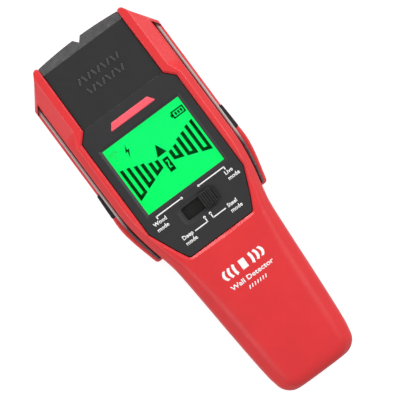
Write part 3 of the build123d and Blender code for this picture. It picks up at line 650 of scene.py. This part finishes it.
def stadium(centre_x, radius, low_y, high_y):
    """Points round a stadium with its round ends about low_y and high_y, the long sides divided too."""
    corners = []
    for end_y, start in ((high_y, 0), (low_y, 180)):
        for step in range(FELT_STEPS + 1):
            turn = math.radians(start + 180 * step / FELT_STEPS)
            corners.append((centre_x + radius * math.cos(turn), end_y + radius * math.sin(turn)))
    points = []
    for (x, y), (next_x, next_y) in zip(corners, corners[1:] + corners[:1]):
        run_x, run_y = next_x - x, next_y - y
        parts = max(1, round(math.hypot(run_x, run_y) / FELT_FACET))
        points += [(x + run_x * i / parts, y + run_y * i / parts) for i in range(parts)]
    return points


def wool(x, y):
    """How far the felt's face dips in at a place."""
    return WOOL_DEPTH * (0.5 + 0.5 * math.sin(x * WOOL_WAVE_X + y * WOOL_WAVE_Y))


def felt_strip(bm, low, high):
    """Stadium-shaped felt strip in bm, crowned where it meets the wall and woolly on its face."""
    centre_x, half = (low.x + high.x) / 2, (high.x - low.x) / 2
    glued = [bm.verts.new((x, y, high.z)) for x, y in stadium(centre_x, half, low.y + half, high.y - half)]
    rings = [glued]
    # how far each ring lies inside the outline, and its height as a share of the thickness
    profile = [(0.0, 0.45), (0.04, 0.2), (0.14, 0.06), (0.34, 0.02), (0.6, 0.0), (0.9, 0.0)]
    for inset, share in profile:
        outline = stadium(centre_x, half * (1 - inset), low.y + half, high.y - half)
        z = low.z + share * (high.z - low.z)
        rings.append([bm.verts.new((x, y, z + wool(x, y))) for x, y in outline])
    for outer, inner in zip(rings, rings[1:]):
        for i in range(len(outer)):
            j = (i + 1) % len(outer)
            bm.faces.new((outer[i], outer[j], inner[j], inner[i]))
    bm.faces.new(rings[0])
    bm.faces.new(rings[-1])


def felt_strips():
    """The two strips that carry the head over the wall."""
    low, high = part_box("glide_pads")
    bm = bmesh.new()
    for x0 in (low.x, high.x - FELT_WIDTH):
        felt_strip(bm, Vector((x0, low.y, low.z)), Vector((x0 + FELT_WIDTH, high.y, high.z)))
    bmesh.ops.recalc_face_normals(bm, faces=bm.faces)
    mesh = bpy.data.meshes.new("felt_strips")
    bm.to_mesh(mesh)
    bm.free()
    for face in mesh.polygons:
        face.use_smooth = True
    strips = bpy.data.objects.new("felt_strips", mesh)
    bpy.context.scene.collection.objects.link(strips)
    mesh.materials.append(MATERIALS["felt"])
    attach(strips, HOUSING)
    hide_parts("glide_pads")


def label_print(low, high):
    """Thin frame and seven plain rules, long and short in turn, between two corners of the label."""
    margin, line, rule, rule_pitch, rules_inset = 1.2, 0.3, 0.6, 4.0, 2.0
    x0, y0 = low.x / MM + margin, low.y / MM + margin
    x1, y1 = high.x / MM - margin, high.y / MM - margin
    shapes = [bar(x0, y0, x1, y0 + line), bar(x0, y1 - line, x1, y1)]
    shapes += [bar(x0, y0 + line, x0 + line, y1 - line), bar(x1 - line, y0 + line, x1, y1 - line)]
    for i in range(7):
        foot = y1 - 6.0 - rule_pitch * i
        shapes.append(bar(x0 + rules_inset, foot, x1 - rules_inset - 3.0 * (i % 2), foot + rule))
    return shapes


felt_strips()
label_low, label_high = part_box("rating_label")
on_label = level(label_low.z)
printed = polygons(label_print(label_low, label_high))
lay("label_print", printed, on_label, HOUSING, BLACK_INK, 0.02, up=-1)

on_door = level(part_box("battery_door")[0].z)
slide_arrow = polygons([[(-4.0, -49.0), (4.0, -49.0), (0.0, -55.0)]])
door_red = MATERIALS["door_plastic"]
lay("door_arrow", slide_arrow, on_door, "battery_door", door_red, 0.3, up=-1)

# ---------------------------------------------------------------- floor, light and camera


def soft_light(name, place, size, power):
    """Soft box that faces the origin."""
    data = bpy.data.lights.new(name, "AREA")
    data.shape = "RECTANGLE"
    data.size, data.size_y = size
    data.energy = power
    lamp = bpy.data.objects.new(name, data)
    lamp.location = place
    lamp.rotation_euler = Vector(place).to_track_quat("Z", "Y").to_euler()
    bpy.context.scene.collection.objects.link(lamp)


def sky():
    """White surroundings, dimmer towards the ground, so that upright sides fall off to a darker edge."""
    world = bpy.data.worlds.new("studio")
    world.use_nodes = True
    tree = world.node_tree
    where = add(tree, "ShaderNodeTexCoord")
    split = tree.nodes.new("ShaderNodeSeparateXYZ")
    tree.links.new(where.outputs["Generated"], split.inputs["Vector"])
    light = ranged(tree, split.outputs["Z"], 0.5, 0.61, -0.3, 0.3)
    tree.links.new(light, tree.nodes["Background"].inputs["Strength"])
    tree.nodes["Background"].inputs["Color"].default_value = (1, 1, 1, 1)
    return world


FLOOR_HALF = 1.5
FLOOR_GAP = 0.2 * MM


def pale_floor():
    """White floor just under the part; it neither lights the part nor shows in its gloss."""
    bm = bmesh.new()
    bmesh.ops.create_grid(bm, x_segments=8, y_segments=8, size=FLOOR_HALF)
    mesh = bpy.data.meshes.new("floor")
    bm.to_mesh(mesh)
    bm.free()
    floor = bpy.data.objects.new("floor", mesh)
    floor.location.z = cad_box[0][2] - FLOOR_GAP
    floor.visible_diffuse = False
    floor.visible_glossy = False
    bpy.context.scene.collection.objects.link(floor)
    mat, tree, shader = new_material("floor_white")
    shade = mixed(tree, noise(tree, 4.0), (0.5, 0.5, 0.5), (0.47, 0.47, 0.47))
    tree.links.new(shade, shader.inputs["Base Color"])
    shader.inputs["Roughness"].default_value = 0.9
    shader.inputs["Emission Color"].default_value = (1.0, 1.0, 1.0, 1.0)
    shader.inputs["Emission Strength"].default_value = 0.7
    mesh.materials.append(mat)


def studio():
    """Floor, surroundings and soft boxes to the part's right and left and low in front of its nose."""
    pale_floor()
    bpy.context.scene.world = sky()
    soft_light("key", (0.86, 0.2, 0.63), (0.6, 0.6), 8.5)
    soft_light("fill", (-0.88, 0.1, 0.58), (0.6, 0.6), 4.9)
    soft_light("nose_light", (0.05, 1.2, 0.13), (1.0, 0.2), 8.5)
    bpy.context.scene.view_settings.view_transform = "Standard"


ROLL = math.radians(36.61)
VIEW_WIDTH_MM = 173.0
DISTANCE = 1.6
SENSOR_MM = 36.0
AIM_MM = (0.19, 2.03)


def camera():
    """Long lens square above the face, turned so that the nose points up to the left."""
    data = bpy.data.cameras.new("camera")
    data.sensor_width = SENSOR_MM
    data.lens = SENSOR_MM * DISTANCE / (VIEW_WIDTH_MM * MM)
    data.clip_end = 20.0
    cam = bpy.data.objects.new("camera", data)
    bpy.context.scene.collection.objects.link(cam)
    right = Vector((math.cos(ROLL), -math.sin(ROLL), 0))
    up = Vector((math.sin(ROLL), math.cos(ROLL), 0))
    aim = (right * AIM_MM[0] + up * AIM_MM[1]) * MM
    cam.location = (aim.x, aim.y, DISTANCE + cad_box[1][2] * 0.6)
    cam.rotation_euler = (0, 0, -ROLL)
    bpy.context.scene.camera = cam


studio()
camera()
